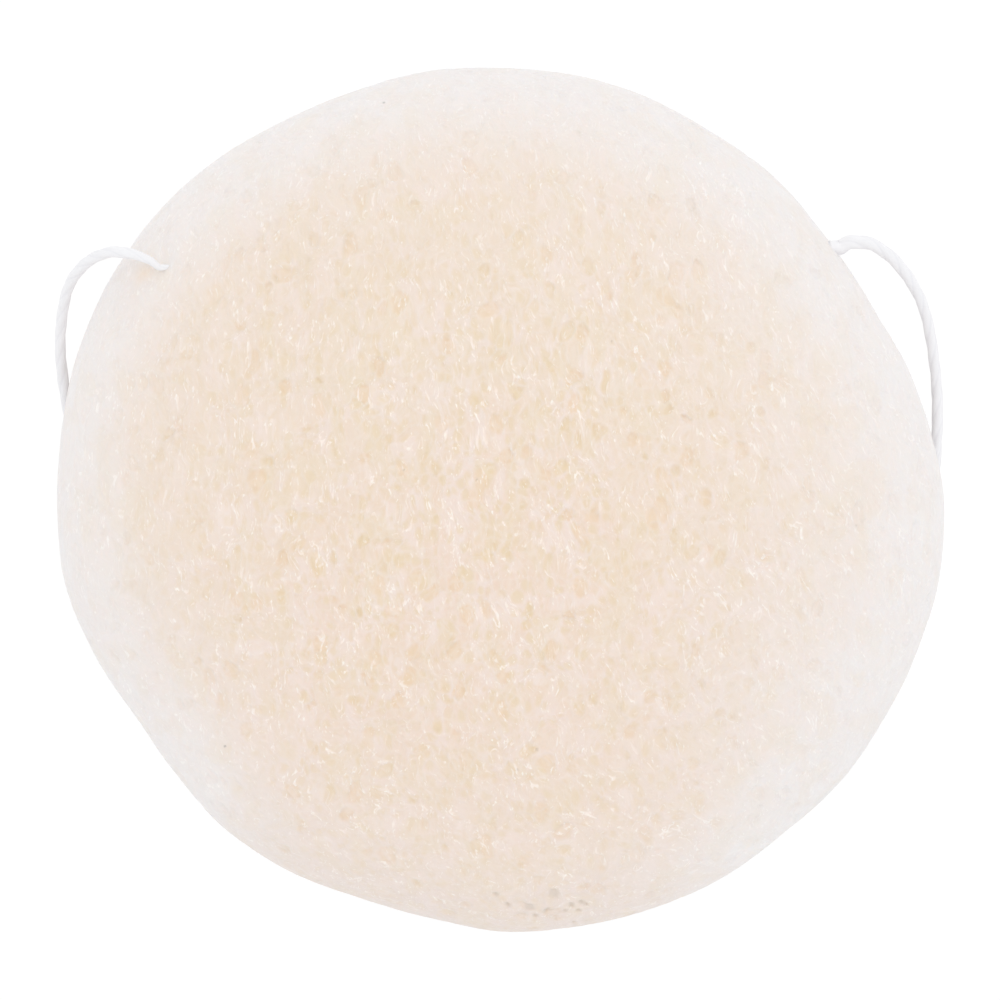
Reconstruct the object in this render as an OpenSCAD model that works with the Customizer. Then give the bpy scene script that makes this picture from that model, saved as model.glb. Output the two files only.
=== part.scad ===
// Konjac sponge: a soft half-ball of porous foam with a cotton hanging loop.
// It lies on its flat back with the dome up. The string passes through the foam
// from the left flank to the right one, runs out over both edges, lies round the
// rounded edge under the sponge and is tied there in a reef knot with two short tails.
// Millimetres. Origin under the middle of the sponge, +Z up, +Y towards the threaded side.

/* [Sponge] */
// Width of the sponge from side to side
body_w = 80; // [70:1:90]
// Height from the flat back to the top of the dome
body_h = 31.5; // [27:0.5:36]
// Height of the widest section above the flat back
widest_h = 9; // [7:0.5:11]
// Width of the rounded edge between the flat back and the widest section
edge_w = 13; // [10:0.5:16]
// Fullness of the dome, where 2 is an ellipse and more is squarer
dome_power = 2.2; // [2:0.05:2.5]

/* [String] */
// Diameter of the cotton string
string_d = 1; // [0.8:0.05:1.1]
// Gap between the string and its hole through the foam, all round
hole_gap = 0.06; // [0.02:0.01:0.1]
// How far the string runs straight from the middle of each hole before it bends
hole_lead = 0.6; // [0.3:0.05:1.2]

/* [Holes] */
// Turn of the left hole round the dome, counted from +X
left_hole_turn = 145; // [135:1:155]
// Turn of the right hole round the dome, counted from +X
right_hole_turn = 37; // [30:1:46]

/* [Hidden] */

foam_colour = [0.95, 0.89, 0.82];
cotton_colour = [0.94, 0.94, 0.96];

// Soft outline of the widest section: its radius every 20 degrees from +X,
// counted anticlockwise, as shares of half the width.
outline_shares = [
    1.01, 0.97, 0.95, 0.965, 0.975, 0.98, 0.985, 1.005, 1.005,
    1.0, 0.98, 0.955, 0.965, 0.96, 0.985, 0.995, 1.005, 1.01
];
// Facets of the sponge: steps between two shares, rings on the edge and on the dome
outline_steps = 3;
edge_rings = 6;
dome_rings = 14;
// Height of each hole on the dome, as shares of the dome's own height
left_hole_share = 0.48;
right_hole_share = 0.1;
// Facets of the string: sides all round, and rings between two points of its route
string_sides = 8;
run_steps = 2;
// Facets of the straight hole and of the string in it
hole_sides = 48;
// How far the hole's cut runs past the middle of each hole, through the slope of the dome
overrun = 2;

// The knot, in diameters of its string: the two lanes that each rope takes in it,
// the rise over and under the other rope, the distance from its middle to a
// crossing, the reach of each bight and half of its length from cut to cut.
knot_inner_share = 0.57;
knot_outer_share = 1.63;
knot_rise_share = 0.56;
knot_cross_share = 2.4;
knot_bight_share = 1.3;
knot_half_share = 3.6;
knot_lane_steps = 7;
knot_bight_steps = 8;

// Route of the string outside the foam, points chosen along it as it lies.
// Left: off the flank of the dome, down to the table and round under the edge.
left_route = [
    [-31.4, 21.4, 20.0],
    [-33.2, 22.0, 19.4],
    [-35.2, 22.1, 17.6],
    [-37.4, 21.1, 13.9],
    [-39.1, 18.8, 9.8],
    [-39.9, 14.3, 5.4],
    [-39.5, 9.2, 2.1],
    [-38.4, 4.2, 0.75],
    [-37.1, -2.6, 0.6],
    [-34.7, -10.0, 0.6],
    [-30.7, -17.0, 0.6],
    [-25.2, -23.4, 0.6],
    [-18.4, -29.0, 0.6],
    [-10.6, -33.4, 0.6],
    [-3.6, -36.2, 0.7],
    [-0.4, -37.2, 1.2]
];
// Right: off the edge of the dome, down beside it and round under it.
right_route = [
    [31.6, 23.2, 11.2],
    [33.7, 22.9, 10.4],
    [36.1, 21.0, 8.5],
    [38.2, 17.6, 6.0],
    [39.3, 12.8, 3.5],
    [39.7, 7.2, 1.5],
    [39.1, -0.8, 0.6],
    [37.6, -7.2, 0.6],
    [34.3, -14.6, 0.6],
    [29.3, -21.6, 0.6],
    [23.0, -27.8, 0.6],
    [16.6, -33.2, 0.6],
    [13.4, -35.0, 0.57]
];
// Its two tails past the knot, splayed a little on the table
left_tail_route = [
    [-0.5, -36.0, 1.2],
    [-2.8, -35.0, 0.7],
    [-4.8, -33.6, 0.6],
    [-6.2, -32.8, 0.6]
];
right_tail_route = [
    [12.5, -33.9, 0.57],
    [13.8, -32.8, 0.6],
    [14.7, -31.4, 0.6]
];
// The knot's middle and its turn about +Z
knot_place = [6.4, -36.0, 1.1];
knot_turn = 10;

// Point between b and c on a smooth curve through a, b, c and d
function between(a, b, c, d, t) =
    b + t * (c - a) / 2 + t * t * (2 * a - 5 * b + 4 * c - d) / 2
    + t * t * t * (3 * b - a - 3 * c + d) / 2;

// Outline of a unit sponge, smooth through the shares
outline_step_turn = 360 / (len(outline_shares) * outline_steps);
function share(i) = outline_shares[(i + len(outline_shares)) % len(outline_shares)];
outline_radii = [
    for (i = [0:1:len(outline_shares) - 1], k = [0:1:outline_steps - 1])
        between(share(i - 1), share(i), share(i + 1), share(i + 2), k / outline_steps)
];
outline_points = [
    for (i = [0:1:len(outline_radii) - 1])
        outline_radii[i] * [cos(i * outline_step_turn), sin(i * outline_step_turn)]
];
outline_x = [for (p = outline_points) p.x];
outline_y = [for (p = outline_points) p.y];
unit_w = max(outline_x) - min(outline_x);
outline_scale = body_w / unit_w;
middle = -outline_scale * [max(outline_x) + min(outline_x), max(outline_y) + min(outline_y)] / 2;

// Radius of the widest section at a turn from +X
function widest_r(turn) =
    let (at = turn / 360 * len(outline_shares), i = floor(at))
    outline_scale * between(share(i - 1), share(i), share(i + 1), share(i + 2), at - i);
// Point on the dome at a turn and at a share of the dome's height
dome_h = body_h - widest_h;
// Share of the widest section's radius that the dome has at a share of its height
function dome_reach(rise) = pow(1 - pow(rise, dome_power), 1 / dome_power);
function dome_point(turn, rise) =
    let (r = widest_r(turn) * dome_reach(rise))
    [middle.x + r * cos(turn), middle.y + r * sin(turn), widest_h + rise * dome_h];

// The straight line of the string through the foam, from hole to hole
left_hole = dome_point(left_hole_turn, left_hole_share);
right_hole = dome_point(right_hole_turn, right_hole_share);
hole_way = (right_hole - left_hole) / norm(right_hole - left_hole);
hole_length = norm(right_hole - left_hole);
// The stretch inside ends one diameter before the string bends
inner_start = left_hole - hole_way * (hole_lead - string_d);
inner_end = right_hole + hole_way * (hole_lead - string_d);
inner_length = norm(inner_end - inner_start);

string_r = string_d / 2;
hole_r = string_r + hole_gap;

// Ring of the sponge at height z: the widest section's outline times reach, drawn
// in by inset
function sponge_ring(reach, inset, z) = [
    for (p = outline_points)
        let (r = outline_scale * norm(p) * reach - inset, way = p / norm(p))
        [middle.x + r * way.x, middle.y + r * way.y, z]
];
edge_profile = [
    for (i = [0:1:edge_rings - 1])
        let (a = 90 * i / edge_rings)
        sponge_ring(1, edge_w * (1 - sin(a)), widest_h * (1 - cos(a)))
];
dome_profile = [
    for (i = [0:1:dome_rings - 1])
        let (rise = pow(sin(90 * i / dome_rings), 2 / dome_power))
        sponge_ring(dome_reach(rise), 0, widest_h + rise * dome_h)
];

function flat(lists) = [for (one = lists, p = one) p];

// Triangles of the wall between rings of n points each
function side_faces(rings, n) = [
    for (j = [0:1:rings - 2], i = [0:1:n - 1])
        let (a = j * n + i, b = j * n + (i + 1) % n)
        each [[a, a + n, b], [b, a + n, b + n]]
];

module sponge_body() {
    rings = concat(edge_profile, dome_profile);
    n = len(outline_points);
    top = len(rings) * n;
    last = top - n;
    points = concat(flat(rings), [[middle.x, middle.y, body_h]]);
    faces = concat(
        [[for (i = [0:1:n - 1]) i]],
        side_faces(len(rings), n),
        [for (i = [0:1:n - 1]) [last + i, top, last + (i + 1) % n]]
    );
    color(foam_colour) difference() {
        polyhedron(points = points, faces = faces, convexity = 2);
        along_holes(left_hole - hole_way * overrun)
            cylinder(r = hole_r, h = hole_length + 2 * overrun, $fn = hole_sides);
    }
}

// Lays a cylinder along the line of the holes from a place on it
module along_holes(place) {
    translate(place)
        rotate([0, acos(hole_way.z), atan2(hole_way.y, hole_way.x)])
            children();
}

module string_inner_run() {
    color(cotton_colour) along_holes(inner_start)
        cylinder(r = string_r, h = inner_length, $fn = hole_sides);
}

// Directions along a route, each the mean of the two legs that meet there
function unit(v) = v / norm(v);
function heading(route, i) =
    i == 0 ? unit(route[1] - route[0])
    : i == len(route) - 1 ? unit(route[i] - route[i - 1])
    : unit(unit(route[i + 1] - route[i]) + unit(route[i] - route[i - 1]));
// Carries a side direction on to the next heading without a twist
function carried(side, way) = unit(side - way * (side * way));
function sides_along(route) = [
    for (i = 0, s = carried([0, 0, 1], heading(route, 0));
         i < len(route);
         i = i + 1, s = i < len(route) ? carried(s, heading(route, i)) : s) s
];

// A tube of radius r swept along a route, its flat ends square to it
module tube(route, r) {
    sides = sides_along(route);
    n = string_sides;
    rings = [
        for (i = [0:1:len(route) - 1])
            let (way = heading(route, i), up = sides[i], across = cross(way, up))
            [for (k = [0:1:n - 1]) route[i] + r * (cos(360 * k / n) * up + sin(360 * k / n) * across)]
    ];
    end = (len(route) - 1) * n;
    faces = concat(
        [[for (k = [0:1:n - 1]) k]],
        side_faces(len(route), n),
        [[for (k = [n - 1:-1:0]) end + k]]
    );
    polyhedron(points = flat(rings), faces = faces, convexity = 6);
}

// A route made smooth between its first and last legs, which stay straight
function smooth(points) =
    let (last = len(points) - 1)
    concat(
        [points[0]],
        [
            for (i = [1:1:last - 2], k = [0:1:run_steps - 1])
                between(points[i - 1], points[i], points[i + 1], points[i + 2], k / run_steps)
        ],
        [points[last - 1], points[last]]
    );

// One rope of the knot, from its standing end round its bight to its tail.
// It crosses the other rope over, under, over, over, under and over.
knot_inner = knot_inner_share * string_d;
knot_outer = knot_outer_share * string_d;
knot_rise = knot_rise_share * string_d;
knot_cross = knot_cross_share * string_d;
knot_bight = knot_bight_share * string_d;
knot_half = knot_half_share * string_d;
function eased(u) = u * u * (3 - 2 * u);
function knot_lane(x) =
    let (u = min(max(x / knot_cross + 0.5, 0), 1))
    knot_inner + (knot_outer - knot_inner) * eased(u);
function knot_height(x) = -knot_rise * cos(180 * min(abs(x) / knot_cross, 1));
knot_leg = [
    for (i = [0:1:knot_lane_steps])
        let (x = -knot_cross + 1.5 * knot_cross * i / knot_lane_steps)
        [x, -knot_lane(x), knot_height(x)]
];
knot_bight_points = [
    for (i = [1:1:knot_bight_steps - 1])
        let (a = 180 * i / knot_bight_steps - 90, x = knot_cross / 2 + knot_bight * cos(a))
        [x, knot_outer * sin(a), knot_height(x)]
];
function knot_mirror(p) = [p.x, -p.y, p.z];
knot_rope_middle = concat(
    knot_leg,
    knot_bight_points,
    [for (i = [len(knot_leg) - 1:-1:0]) knot_mirror(knot_leg[i])]
);
// The rope's cut ends lie level, one diameter straight, as the runs meet them
knot_cut = [-knot_half, -knot_inner, knot_rise];
knot_cut_leg = [knot_cut.x + string_d, knot_cut.y, knot_cut.z];
knot_rope = concat(
    [knot_cut, knot_cut_leg],
    knot_rope_middle,
    [knot_mirror(knot_cut_leg), knot_mirror(knot_cut)]
);

// Places a point of the knot where the knot lies
function knot_to_part(p) =
    knot_place + [
        p.x * cos(knot_turn) - p.y * sin(knot_turn),
        p.x * sin(knot_turn) + p.y * cos(knot_turn),
        p.z
    ];
// The second rope is the first one turned half round about the knot's own Y
function knot_swap(p) = [-p.x, p.y, -p.z];
knot_rope_left = [for (p = knot_rope) knot_to_part(p)];
knot_rope_right = [for (p = knot_rope) knot_to_part(knot_swap(p))];

module string_knot() {
    color(cotton_colour) {
        tube(knot_rope_left, string_r);
        tube(knot_rope_right, string_r);
    }
}

// The point one diameter past the end of a route, straight on from its neighbour
function onward(end, neighbour) = end + unit(end - neighbour) * string_d;
knot_last = len(knot_rope_left) - 1;

left_run = concat(
    [inner_start, onward(inner_start, inner_end)],
    left_route,
    [onward(knot_rope_left[0], knot_rope_left[1]), knot_rope_left[0]]
);
right_run = concat(
    [inner_end, onward(inner_end, inner_start)],
    right_route,
    [onward(knot_rope_right[0], knot_rope_right[1]), knot_rope_right[0]]
);
left_tail = concat(
    [knot_rope_left[knot_last], onward(knot_rope_left[knot_last], knot_rope_left[knot_last - 1])],
    left_tail_route
);
right_tail = concat(
    [knot_rope_right[knot_last], onward(knot_rope_right[knot_last], knot_rope_right[knot_last - 1])],
    right_tail_route
);

module string_left_run() {
    color(cotton_colour) tube(smooth(left_run), string_r);
}

module string_right_run() {
    color(cotton_colour) tube(smooth(right_run), string_r);
}

module string_tail_left() {
    color(cotton_colour) tube(left_tail, string_r);
}

module string_tail_right() {
    color(cotton_colour) tube(right_tail, string_r);
}

sponge_body();
string_inner_run();
string_left_run();
string_right_run();
string_knot();
string_tail_left();
string_tail_right();
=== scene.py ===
import bpy
import numpy as np
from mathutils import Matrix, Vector


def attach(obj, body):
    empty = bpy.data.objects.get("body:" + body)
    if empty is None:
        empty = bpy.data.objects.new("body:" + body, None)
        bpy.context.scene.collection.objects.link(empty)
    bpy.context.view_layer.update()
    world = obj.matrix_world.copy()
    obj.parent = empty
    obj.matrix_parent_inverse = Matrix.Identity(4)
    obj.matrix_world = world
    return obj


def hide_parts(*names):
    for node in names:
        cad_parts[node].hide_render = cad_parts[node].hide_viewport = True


# A konjac sponge: a soft half ball of porous foam on its flat back, dome up, with a twisted
# cotton string threaded through it and tied under its rim. Metres, +Z up, seen from above.
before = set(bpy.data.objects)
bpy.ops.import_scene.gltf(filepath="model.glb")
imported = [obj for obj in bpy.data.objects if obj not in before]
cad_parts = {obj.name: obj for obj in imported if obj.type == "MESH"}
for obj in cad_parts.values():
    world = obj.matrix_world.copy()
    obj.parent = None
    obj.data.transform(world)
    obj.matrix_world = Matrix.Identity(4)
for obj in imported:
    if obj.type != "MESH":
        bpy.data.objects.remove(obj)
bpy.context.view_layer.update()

camera = {
    "place": (-0.000068, -0.000023),  # over this point of the table
    "distance": 1.0,  # from the sponge's widest section
    "sectionHeight": 0.009,
    "seenWidth": 0.09024,  # of the widest section's plane in the picture
    "sensor": 36.0,
    "clip": (0.01, 20),
}


def makeCamera(look):
    # looks straight down with the lens of sensor x distance / seen width
    data = bpy.data.cameras.new("topCamera")
    data.sensor_width = look["sensor"]
    data.lens = look["sensor"] * look["distance"] / look["seenWidth"]
    data.clip_start, data.clip_end = look["clip"]
    seen = bpy.data.objects.new("topCamera", data)
    seen.location = (*look["place"], look["sectionHeight"] + look["distance"])
    bpy.context.scene.collection.objects.link(seen)
    bpy.context.scene.camera = seen


makeCamera(camera)
print("camera: straight down on the dome")

string = {
    "diameter": 0.001,
    "plies": 3,
    "plyReach": 0.0001,  # from the string's middle to that of each ply
    "plyRadius": 0.00043,
    "lay": 0.0078,  # length of one full turn of the plies
    "slub": 0.03,  # how thick and thin the spun yarn grows, as a share
    "slubWaves": ((0.0073, 0, 0.5), (0.0031, 1, 0.4), (0.0191, 2, 0.6)),  # length, phase, share
    "inside": 0.92,  # thickness in the foam's grip, as a share
    "grip": (0.0006, 0.0002),  # over what length it begins past the left hole, and ends at the right
    # how much thinner the left root is, and over what length that fades outside and inside the foam
    "pinched": (0.52, 0.004, 0.0008),
    # how much thicker the right root is, its fade, how far in the foam it begins, over what length
    "loose": (0.42, 0.0045, 0.0003, 0.0004),
    # length of an open cut end, how much further its plies reach there, and how much they thin
    "opened": (0.0016, 0.9, 0.35),
    "around": 36, "step": 0.00016,  # between two rings
    "leftRun": [
        (-0.0294715, 0.02075, 0.0197434), (-0.030461, 0.0207179, 0.0198849),
        (-0.0314, 0.0214, 0.02), (-0.0332, 0.022, 0.0194), (-0.0352, 0.0221, 0.0176),
        (-0.0374, 0.0211, 0.0139), (-0.0391, 0.0188, 0.0098), (-0.0399, 0.0143, 0.0054),
        (-0.0395, 0.0092, 0.0021), (-0.0384, 0.0042, 0.00075), (-0.0371, -0.0026, 0.0006),
        (-0.0347, -0.01, 0.0006), (-0.0307, -0.017, 0.0006), (-0.0252, -0.0234, 0.0006),
        (-0.0184, -0.029, 0.0006), (-0.0106, -0.0334, 0.0006), (-0.0036, -0.0362, 0.0007),
        (-0.0004, -0.0372, 0.0012), (0.00196886, -0.0373601, 0.00166),
        (0.00295367, -0.0371865, 0.00166),
    ],
    "rightRun": [
        (0.0295445, 0.022662, 0.0113066), (0.030534, 0.0226941, 0.0111651),
        (0.0316, 0.0232, 0.0112), (0.0337, 0.0229, 0.0104), (0.0361, 0.021, 0.0085),
        (0.0382, 0.0176, 0.006), (0.0393, 0.0128, 0.0035), (0.0397, 0.0072, 0.0015),
        (0.0391, -0.0008, 0.0006), (0.0376, -0.0072, 0.0006), (0.0343, -0.0146, 0.0006),
        (0.0293, -0.0216, 0.0006), (0.023, -0.0278, 0.0006), (0.0166, -0.0332, 0.0006),
        (0.0134, -0.035, 0.00057), (0.0110291, -0.0357626, 0.00054),
        (0.0100443, -0.0359362, 0.00054),
    ],
    "leftTail": [
        (0.00275571, -0.0360638, 0.00166), (0.0017709, -0.0362374, 0.00166),
        (-0.0005, -0.036, 0.0012), (-0.0028, -0.035, 0.0007), (-0.0048, -0.0336, 0.0006),
        (-0.0062, -0.0328, 0.0006),
    ],
    "rightTail": [
        (0.00984633, -0.0348135, 0.00054), (0.0108311, -0.0346399, 0.00054),
        (0.0125, -0.0339, 0.00057), (0.0138, -0.0328, 0.0006), (0.0147, -0.0314, 0.0006),
    ],
}

# The fibres that stand out of each cut end
tufts = {
    "fibres": 60, "rings": 6, "sides": 5,
    "length": 0.0011,
    "lengths": (0.5, 1.2),  # the shortest and the longest, as shares of that
    "root": 0.0003,  # how deep in the string they start
    "disc": 0.4,  # radius of the disc that they start on, in diameters of the string
    "spread": (0.15, 0.5),  # how far the inner ones lean out, and how much more the outer ones do
    "stray": 0.12, "bend": 0.35,
    "radius": 0.00003, "taper": 0.75,
    "lowest": 0.00002, "crest": 0.8,
    "seeds": {"stringTailLeft": 7, "stringTailRight": 11},
}

# The reef knot, in diameters of its string: the two lanes that each rope takes in it, the rise
# over and under the other rope, the distance to a crossing, the reach of a bight, half its length
knot = {
    "inner": 0.57, "outer": 1.63, "rise": 0.56, "cross": 2.4, "bight": 1.3, "half": 3.6,
    "place": (0.0064, -0.036, 0.0011),
    "turn": 10.0, "legPoints": 400, "bightPoints": 201,
}


def eased(u):
    # 3u² - 2u³, level at 0 and at 1, for u held between them
    u = np.clip(u, 0, 1)
    return u * u * (3 - 2 * u)


def ramp(value, start, width):
    # 0 before start, 1 from a width past it, eased between them; it falls where the width is minus
    return eased((value - start) / width)


def between(a, b, c, d, t):
    # Catmull-Rom: the cubic from b to c whose slope there is half of a to c and of b to d
    return (
        b + t * (c - a) / 2 + t * t * (2 * a - 5 * b + 4 * c - d) / 2
        + t * t * t * (3 * b - a - 3 * c + d) / 2
    )


def distanceAlong(line):
    # how far along the line each of its points is: the summed lengths of its legs
    return np.concatenate([[0], np.cumsum(np.linalg.norm(np.diff(line, axis=0), axis=1))])


def evenly(line, step):
    # the line again at even distances, each place read off its summed length
    along = distanceAlong(line)
    at = np.linspace(0, along[-1], int(np.ceil(along[-1] / step)) + 1)
    return np.stack([np.interp(at, along, line[:, k]) for k in range(3)], axis=1)


def smoothRoute(points, straightEnd=True, steps=24):
    # the first leg straight, then Catmull-Rom spans from point to point, and the last leg straight
    p = np.array(points, float)
    if not straightEnd:
        p = np.concatenate([p, [2 * p[-1] - p[-2]]])
    t = np.arange(0, 1, 1 / steps)[None, :, None]
    a, b, c, d = p[:-3, None], p[1:-2, None], p[2:-1, None], p[3:, None]
    spans = between(a, b, c, d, t).reshape(-1, 3)
    return np.concatenate([p[:1], spans, p[-2:] if straightEnd else p[-2:-1]])


def knotRope(look, diameter, swapped):
    # one rope of the knot: a lane that eases from inner to outer, a height of minus the rise times
    # the cosine of half a turn per crossing, a half ellipse for the bight, and the same way back
    cross, outer = look["cross"], look["outer"]

    def lane(x):
        return look["inner"] + (outer - look["inner"]) * eased(x / cross + 0.5)

    def height(x):
        return -look["rise"] * np.cos(np.pi * np.minimum(np.abs(x) / cross, 1))

    x = np.linspace(-look["half"], cross / 2, look["legPoints"])
    leg = np.stack([x, -lane(x), height(x)], axis=1)
    a = np.linspace(-np.pi / 2, np.pi / 2, look["bightPoints"])[1:-1]
    x = cross / 2 + look["bight"] * np.cos(a)
    bight = np.stack([x, outer * np.sin(a), height(x)], axis=1)
    rope = np.concatenate([leg, bight, leg[::-1] * [1, -1, 1]])
    if swapped:
        rope = rope * [-1, 1, -1]
    turn = np.radians(look["turn"])
    c, s = np.cos(turn), np.sin(turn)
    x, y, z = rope.T
    turned = np.stack([x * c - y * s, x * s + y * c, z], axis=1)
    return diameter * turned + look["place"]


def stringPath(look):
    # the whole string from one cut end to the other, and where each piece of it begins and ends
    stretches = {
        "stringTailLeft": smoothRoute(look["leftTail"], False)[::-1],
        "knotRopeLeft": knotRope(knot, look["diameter"], False)[::-1],
        "stringLeft": smoothRoute(look["leftRun"])[::-1],
        "stringInside": np.array([look["leftRun"][0], look["rightRun"][0]]),
        "stringRight": smoothRoute(look["rightRun"]),
        "knotRopeRight": knotRope(knot, look["diameter"], True),
        "stringTailRight": smoothRoute(look["rightTail"], False),
    }
    lines = [evenly(line, look["step"]) for line in stretches.values()]
    ends = np.cumsum([0] + [len(line) - 1 for line in lines])
    path = np.concatenate([lines[0][:1]] + [line[1:] for line in lines])
    spans = {name: (ends[i], ends[i + 1] + 1) for i, name in enumerate(stretches)}
    return path, spans


def framesOf(path):
    # along: the slope of the path; aside: level and square to it; up: square to both
    along = np.gradient(path, axis=0)
    along /= np.linalg.norm(along, axis=1, keepdims=True)
    aside = np.cross([0, 0, 1], along)
    aside /= np.linalg.norm(aside, axis=1, keepdims=True)
    return along, aside, np.cross(along, aside)


def plyRadius(delta, reach, radius):
    # distance from the string's middle to the rim of a circle of that radius whose middle is at
    # reach, at the turn delta from it: reach cos(delta) + root(radius² - reach² sin²(delta))
    return reach * np.cos(delta) + np.sqrt(radius**2 - (reach * np.sin(delta)) ** 2)


def fullness(distance, inside, look):
    # thickness along the string as a share: held in by the foam, thinner towards the left hole, in
    # proportion to the distance, and thicker beyond the right one, e^(-s/fade) of its share
    start, end = inside
    begins, ends = look["grip"]
    held = eased((distance - start) / begins) * eased((end - distance) / ends)
    share, fade, within = look["pinched"]
    outside = np.clip((start - distance) / fade, 0, 1)
    pinch = share * (1 - np.where(distance < start, outside, eased((distance - start) / within)))
    share, fade, before, over = look["loose"]
    s = distance - end
    loose = share * eased((s + before) / over) * np.exp(-np.maximum(s, 0) / fade)
    return (1 - (1 - look["inside"]) * held) * (1 - pinch) + loose


def ropeRings(path, inside, look):
    # rings of points round the path: the rim of a circle for each ply, all of which turn once per
    # lay, in a thickness that waves along the yarn
    aside, up = framesOf(path)[1:]
    distance = distanceAlong(path)
    k = 2 * np.pi * np.arange(look["around"]) / look["around"]
    delta = (k * look["plies"] / (2 * np.pi) + 0.5) % 1 - 0.5
    delta = delta * 2 * np.pi / look["plies"]
    length, parted, thinned = look["opened"]
    opened = eased(1 - np.minimum(distance, distance[-1] - distance) / length)[:, None]
    reach = look["plyReach"] * (1 + parted * opened)
    radius = look["plyRadius"] * (1 - thinned * opened)
    waves = sum(
        np.sin(distance * 2 * np.pi / size + phase) * share for size, phase, share in look["slubWaves"]
    )
    slub = 1 + look["slub"] * waves - look["slub"]
    thick = slub * fullness(distance, distance[list(inside)], look)
    r = plyRadius(delta[None, :], reach, radius) * thick[:, None]
    angle = k[None, :] + (distance * 2 * np.pi / look["lay"])[:, None]
    rings = (
        path[:, None] + (r * np.cos(angle))[:, :, None] * aside[:, None]
        + (r * np.sin(angle))[:, :, None] * up[:, None]
    )
    crest = (r - r.min(axis=1, keepdims=True)) / (np.ptp(r, axis=1)[:, None] + 1e-9)
    fibre = np.stack([distance[:, None] + 0 * r, np.cos(k) * r, np.sin(k) * r], axis=2)
    return rings, crest, fibre


def tubeQuads(rings, around):
    # quads between each ring and the next, outward for a ring that turns right-handed round the path
    i, k = np.meshgrid(np.arange(rings - 1), np.arange(around), indexing="ij")
    a, b = i * around + k, i * around + (k + 1) % around
    return np.stack([a, b, b + around, a + around], axis=-1).reshape(-1, 4)


def fanEnds(rings, around):
    # triangles that close the first ring and the last, each round a middle listed after all the rings
    fan, far = np.arange(around), (rings - 1) * around
    near = np.stack([np.full(around, rings * around), (fan + 1) % around, fan], axis=1)
    away = np.stack([np.full(around, rings * around + 1), far + fan, far + (fan + 1) % around], axis=1)
    return [near, away]


def meshObject(name, points, faces):
    # a mesh from arrays: faces of three or four corners each, given as a list of integer arrays
    mesh = bpy.data.meshes.new(name)
    corners = np.concatenate([f.ravel() for f in faces]).astype(np.int32)
    counts = np.concatenate([np.full(len(f), f.shape[1]) for f in faces])
    starts = np.concatenate([[0], np.cumsum(counts)[:-1]]).astype(np.int32)
    mesh.vertices.add(len(points))
    mesh.vertices.foreach_set("co", points.astype(np.float32).ravel())
    mesh.loops.add(len(corners))
    mesh.loops.foreach_set("vertex_index", corners)
    mesh.polygons.add(len(counts))
    mesh.polygons.foreach_set("loop_start", starts)
    mesh.polygons.foreach_set("use_smooth", np.full(len(counts), True))
    mesh.update(calc_edges=True)
    mesh.validate()
    made = bpy.data.objects.new(name, mesh)
    bpy.context.scene.collection.objects.link(made)
    return made


def setNumbers(made, name, values):
    # one number or one triple for each point, which the materials read by its name
    kind, key = ("FLOAT", "value") if values.ndim == 1 else ("FLOAT_VECTOR", "vector")
    field = made.data.attributes.new(name, kind, "POINT")
    field.data.foreach_set(key, values.astype(np.float32).ravel())


def tuft(end, way, diameter, look, seed):
    # fibres out of a cut end: each starts on the end's disc and runs along the string's way, spread
    # outwards by its own start, bent by the square of its length, and tapered
    dice = np.random.default_rng(seed)
    n, rings, sides = look["fibres"], look["rings"], look["sides"]
    inner, outer = look["spread"]
    aside = np.cross([0, 0, 1.0], way)
    aside /= np.linalg.norm(aside)
    up = np.cross(way, aside)
    turn = dice.uniform(0, 2 * np.pi, n)
    out = np.sqrt(dice.uniform(0, 1, n))[:, None]
    radial = np.cos(turn)[:, None] * aside + np.sin(turn)[:, None] * up
    start = end - way * look["root"] + radial * out * diameter * look["disc"]
    heading = way + radial * (inner + outer * out) + dice.normal(0, look["stray"], (n, 3))
    heading /= np.linalg.norm(heading, axis=1, keepdims=True)
    bend = dice.normal(0, look["bend"], (n, 3))
    length = look["length"] * dice.uniform(*look["lengths"], n)
    t = np.linspace(0, 1, rings)[None, :, None]
    line = start[:, None] + length[:, None, None] * (heading[:, None] * t + bend[:, None] * t * t)
    thick = look["radius"] * (1 - look["taper"] * t)
    k = 2 * np.pi * np.arange(sides) / sides
    ring = np.cos(k)[:, None] * aside + np.sin(k)[:, None] * up
    points = line[:, :, None] + thick[:, :, None] * ring[None, None]
    points[..., 2] = np.maximum(points[..., 2], look["lowest"])
    hops = (np.arange(n) * rings * sides)[:, None, None]
    quads = tubeQuads(rings, sides)[None] + hops
    ends = np.stack([np.arange(sides)[::-1], np.arange(sides) + (rings - 1) * sides])[None] + hops
    return points.reshape(-1, 3), quads.reshape(-1, 4), ends.reshape(-1, sides)


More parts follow.
